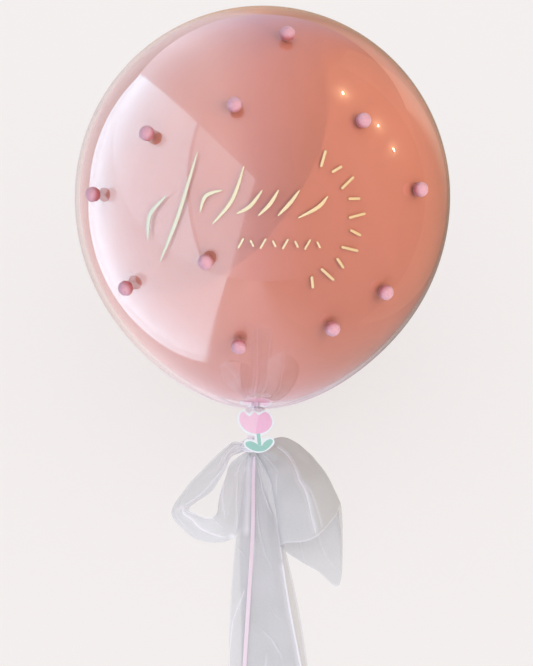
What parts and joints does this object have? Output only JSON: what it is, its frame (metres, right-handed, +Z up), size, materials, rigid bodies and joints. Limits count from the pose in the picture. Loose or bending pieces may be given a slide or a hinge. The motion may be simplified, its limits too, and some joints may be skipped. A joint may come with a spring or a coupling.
{
  "type": "clear bubble balloon",
  "caption": "Sealed clear bubble balloon with pom-poms, abstract vinyl marks, a tulip tag and a tulle bow with ribbon, lying on its side.",
  "frame": {"origin": "centre of the small flat spot on which the balloon rests", "axes": "+Z up from the floor, -Z out of the flat spot, -Y ahead from the balloon towards the bow's tails, +X to the right of someone who faces the marks"},
  "size_m": [0.5798, 1.2107, 0.6085],
  "materials": {
    "clear_film": "glossy clear film over a pink balloon sealed inside",
    "pom_pom": "matte fuzzy pink",
    "vinyl": "cream-gold satin film",
    "card": "printed coated card with a white edge",
    "tulle": "sheer white net",
    "ribbon": "pale pink satin"
  },
  "bodies": {
    "root": {"arc_mark_01": "vinyl", "arc_mark_02": "vinyl", "arc_mark_03": "vinyl", "arc_mark_04": "vinyl", "arc_mark_05": "vinyl", "arc_mark_06": "vinyl", "arc_mark_07": "vinyl", "arc_mark_08": "vinyl", "arc_mark_09": "vinyl", "arc_mark_10": "vinyl", "brush_mark_1": "vinyl", "brush_mark_2": "vinyl", "brush_mark_3": "vinyl", "brush_mark_4": "vinyl", "brush_mark_5": "vinyl", "brush_mark_6": "vinyl", "brush_mark_7": "vinyl", "brush_mark_8": "vinyl", "bubble": "clear_film", "pom_01": "pom_pom", "pom_02": "pom_pom", "pom_03": "pom_pom", "pom_04": "pom_pom", "pom_05": "pom_pom", "pom_06": "pom_pom", "pom_07": "pom_pom", "pom_08": "pom_pom", "pom_09": "pom_pom", "pom_10": "pom_pom", "pom_11": "pom_pom", "pom_12": "pom_pom", "pom_13": "pom_pom", "pom_14": "pom_pom", "pom_15": "pom_pom", "ribbon": "ribbon", "ribbon_coil": "ribbon", "small_mark_1": "vinyl", "small_mark_2": "vinyl", "small_mark_3": "vinyl", "small_mark_4": "vinyl", "small_mark_5": "vinyl", "small_mark_6": "vinyl", "small_mark_7": "vinyl", "small_mark_8": "vinyl", "tulip_tag": "card", "tulle_bow": "tulle"}
  },
  "joints": []
}
